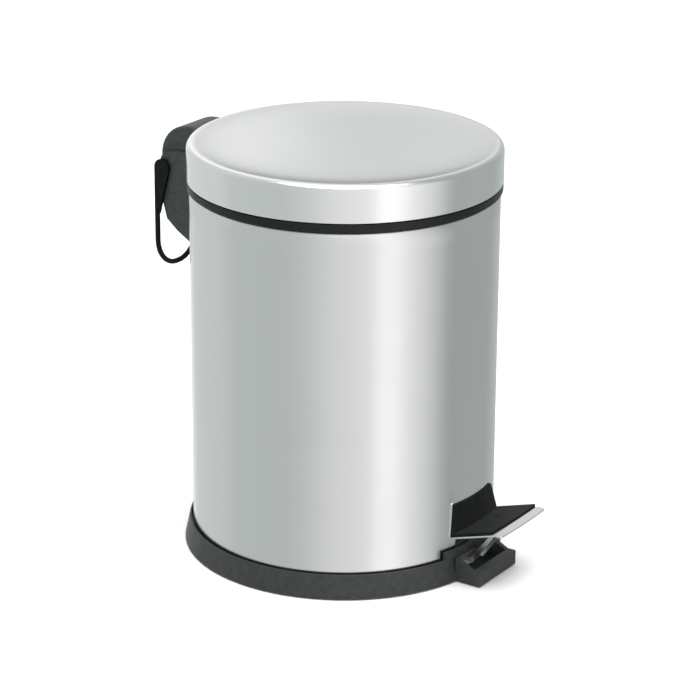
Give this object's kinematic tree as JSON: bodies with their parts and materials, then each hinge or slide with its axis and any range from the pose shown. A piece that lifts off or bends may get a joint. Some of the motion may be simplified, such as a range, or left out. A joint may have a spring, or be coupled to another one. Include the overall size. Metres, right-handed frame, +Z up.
{
  "type": "pedal trash can",
  "caption": "Round steel pedal bin with a rear-hinged lid lifted through a rod by a foot pedal, an inner bucket and a folding carry bail.",
  "frame": {"origin": "on the can's axis, at the floor face of the foot ring", "axes": "+Z up along the can's axis, -Y towards the pedal, +Y towards the hinge, +X to the right of the hinge-to-pedal line seen from the front"},
  "size_m": [0.2168, 0.2844, 0.2798],
  "materials": {
    "body_steel": "polished stainless sheet",
    "lid_steel": "polished stainless sheet",
    "pedal_steel": "bright pressed steel",
    "zinc_steel": "zinc plated",
    "base_plastic": "fine moulded grain",
    "collar_plastic": "smooth moulding",
    "hinge_plastic": "fine moulded grain",
    "bucket_plastic": "smooth moulding",
    "nylon": "natural nylon",
    "pad_rubber": "soft matt rubber",
    "foot_rubber": "matt rubber",
    "bail_plastic": "coated wire"
  },
  "bodies": {
    "can": {"body_shell": "body_steel", "top_collar": "collar_plastic", "base_ring": "base_plastic", "rubber_foot_ring": "foot_rubber", "base_plate": "zinc_steel", "base_screws": "zinc_steel", "pedal_axle": "zinc_steel", "axle_clips": "zinc_steel", "inner_bucket": "bucket_plastic", "bucket_bail": "zinc_steel", "hinge_housing": "hinge_plastic", "hinge_pin": "zinc_steel", "housing_backing_plate": "zinc_steel", "housing_screws": "zinc_steel", "rod_guide_lower": "nylon", "rod_guide_upper": "nylon"},
    "lid": {"lid_shell": "lid_steel", "lid_backing_plate": "zinc_steel", "lid_hood": "hinge_plastic", "lid_rivets": "zinc_steel"},
    "pedal": {"pedal_plate": "pedal_steel", "pedal_pad": "pad_rubber", "pedal_lever": "pedal_steel", "pedal_rivets": "zinc_steel", "lever_bushes": "nylon", "lever_end_cap": "nylon"},
    "lift_rod": {"push_rod": "zinc_steel", "rod_cap": "nylon"},
    "carry_handle": {"carry_bail": "bail_plastic"}
  },
  "joints": [
    {"name": "lid_hinge", "type": "hinge", "parent": "can", "child": "lid", "pos_m": [0, 0.118, 0.252], "axis": [-1, 0, 0], "range_deg": [0, 72]},
    {"name": "pedal_hinge", "type": "hinge", "parent": "can", "child": "pedal", "pos_m": [0, -0.072, 0.008], "axis": [1, 0, 0], "range_deg": [0, 8.85]},
    {"name": "rod_slide", "type": "slide", "parent": "can", "child": "lift_rod", "axis": [0, 0, 1], "range_m": [0, 0.02592]},
    {"name": "carry_hinge", "type": "hinge", "parent": "can", "child": "carry_handle", "pos_m": [0, 0.135, 0.244], "axis": [1, 0, 0], "range_deg": [0, 95]}
  ],
  "couplings": [
    {"joint": "pedal_hinge", "follows": "lid_hinge", "ratio": 0.1225},
    {"joint": "rod_slide", "follows": "lid_hinge", "m_per_rad": 0.02058}
  ]
}
